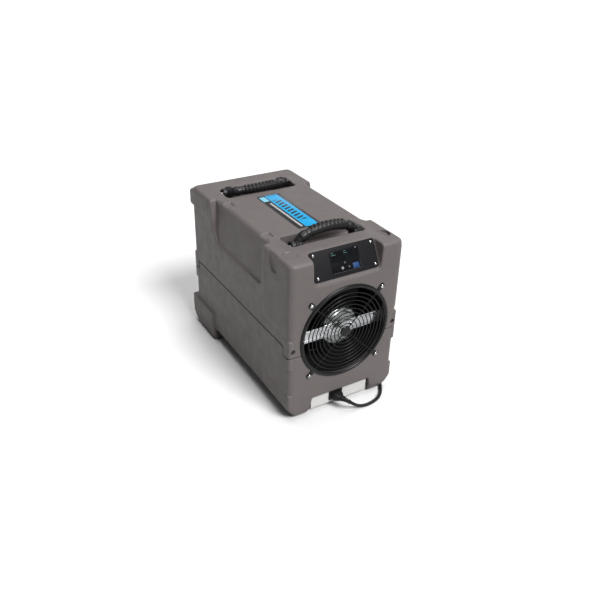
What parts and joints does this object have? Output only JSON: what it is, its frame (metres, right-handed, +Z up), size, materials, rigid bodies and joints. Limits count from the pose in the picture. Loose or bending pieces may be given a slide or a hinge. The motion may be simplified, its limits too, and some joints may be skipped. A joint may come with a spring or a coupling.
{
  "type": "portable dehumidifier",
  "caption": "Portable commercial dehumidifier: two-part moulded grey case, round fan guard, sloped control panel, swinging carry handles, pull-out filter and corded base.",
  "frame": {"origin": "bottom centre of the case, on the floor", "axes": "+Z up, fan and control panel face -Y, filter faces +Y, X is the case width"},
  "size_m": [0.517, 0.6036, 0.4545],
  "materials": {
    "case_plastic": "warm grey rotomoulded polyethylene, fine grain",
    "black_plastic": "black moulded plastic",
    "panel_black": "satin black control plate",
    "black_rubber": "black rubber",
    "foam": "closed-cell foam seal",
    "guard_wire": "black epoxy coated wire",
    "screw_chrome": "bright plated screws",
    "dark_steel": "black oxide",
    "pan_paint": "pale powder coat",
    "bracket_steel": "bright galvanised strip",
    "motor_alloy": "cast alloy",
    "shaft_steel": "ground steel",
    "lens": "smoked display window",
    "key_blue": "blue key",
    "key_white": "white key",
    "key_grey": "grey key",
    "led_white": "white indicator",
    "circuit_board": "green solder mask",
    "label_film": "printed film with blue and black bands",
    "filter_fibre": "pleated filter fibre",
    "fin_alloy": "thin fins",
    "copper": "copper tube",
    "shell_black": "black painted compressor shell",
    "tray_plastic": "dark tray",
    "clear_white": "natural plastic reservoir",
    "float_orange": "foam float",
    "capacitor_can": "drawn can",
    "brass_fitting": "turned brass",
    "cord_jacket": "black cord jacket"
  },
  "bodies": {
    "case": {"upper_housing": "case_plastic", "lower_housing": "case_plastic", "housing_gasket": "foam", "housing_bolts": "dark_steel", "base_pan": "pan_paint", "fan_guard": "guard_wire", "guard_screws": "screw_chrome", "fan_shroud": "black_plastic", "motor_bracket": "bracket_steel", "motor_screws": "screw_chrome", "fan_motor": "motor_alloy", "panel_plate": "panel_black", "panel_gasket": "foam", "panel_screws": "screw_chrome", "keypad_bezel": "panel_black", "display_lens": "lens", "status_led": "led_white", "control_board": "circuit_board", "top_label": "label_film", "intake_frame": "black_plastic", "evaporator_fins": "fin_alloy", "evaporator_tubes": "copper", "condenser_fins": "fin_alloy", "condenser_tubes": "copper", "coil_rails": "bracket_steel", "drain_tray": "tray_plastic", "compressor": "shell_black", "compressor_feet": "black_rubber", "discharge_pipe": "copper", "suction_pipe": "copper", "liquid_line": "copper", "filter_drier": "copper", "pump_reservoir": "clear_white", "pump_motor": "black_plastic", "run_capacitor": "capacitor_can", "drain_fitting": "brass_fitting", "power_inlet": "black_plastic", "power_connector": "cord_jacket", "power_cord": "cord_jacket", "cord_coil": "cord_jacket", "plug_lead": "cord_jacket", "mains_plug": "cord_jacket"},
    "fan": {"motor_shaft": "shaft_steel", "fan_wheel": "black_plastic", "fan_nut": "shaft_steel"},
    "front_bail": {"front_handle": "black_rubber", "front_handle_pins": "shaft_steel"},
    "rear_bail": {"rear_handle": "black_rubber", "rear_handle_pins": "shaft_steel"},
    "filter": {"filter_frame": "black_plastic", "filter_media": "filter_fibre"},
    "enter_key": {"key_enter": "key_blue"},
    "select_key": {"key_select": "key_white"},
    "up_key": {"key_up": "key_grey"},
    "down_key": {"key_down": "key_grey"},
    "float": {"pump_float": "float_orange"}
  },
  "joints": [
    {"name": "fan_spin", "type": "hinge", "parent": "case", "child": "fan", "pos_m": [0, -0.178, 0.216], "axis": [0, 1, 0], "continuous": true},
    {"name": "front_handle_swing", "type": "hinge", "parent": "case", "child": "front_bail", "pos_m": [0, -0.175, 0.411], "axis": [1, 0, 0], "range_deg": [-90, 12]},
    {"name": "rear_handle_swing", "type": "hinge", "parent": "case", "child": "rear_bail", "pos_m": [0, 0.175, 0.411], "axis": [-1, 0, 0], "range_deg": [-20, 78]},
    {"name": "filter_pull", "type": "slide", "parent": "case", "child": "filter", "axis": [0, 1, 0], "range_m": [0, 0.08]},
    {"name": "key_enter_press", "type": "slide", "parent": "case", "child": "enter_key", "axis": [0, 0.866, -0.5], "range_m": [0, 0.0008], "stiffness_N_per_m": 400, "springref_m": -0.001},
    {"name": "key_select_press", "type": "slide", "parent": "case", "child": "select_key", "axis": [0, 0.866, -0.5], "range_m": [0, 0.0008], "stiffness_N_per_m": 400, "springref_m": -0.001},
    {"name": "key_up_press", "type": "slide", "parent": "case", "child": "up_key", "axis": [0, 0.866, -0.5], "range_m": [0, 0.0008], "stiffness_N_per_m": 400, "springref_m": -0.001},
    {"name": "key_down_press", "type": "slide", "parent": "case", "child": "down_key", "axis": [0, 0.866, -0.5], "range_m": [0, 0.0008], "stiffness_N_per_m": 400, "springref_m": -0.001},
    {"name": "float_rise", "type": "slide", "parent": "case", "child": "float", "axis": [0, 0, 1], "range_m": [0, 0.045]}
  ]
}
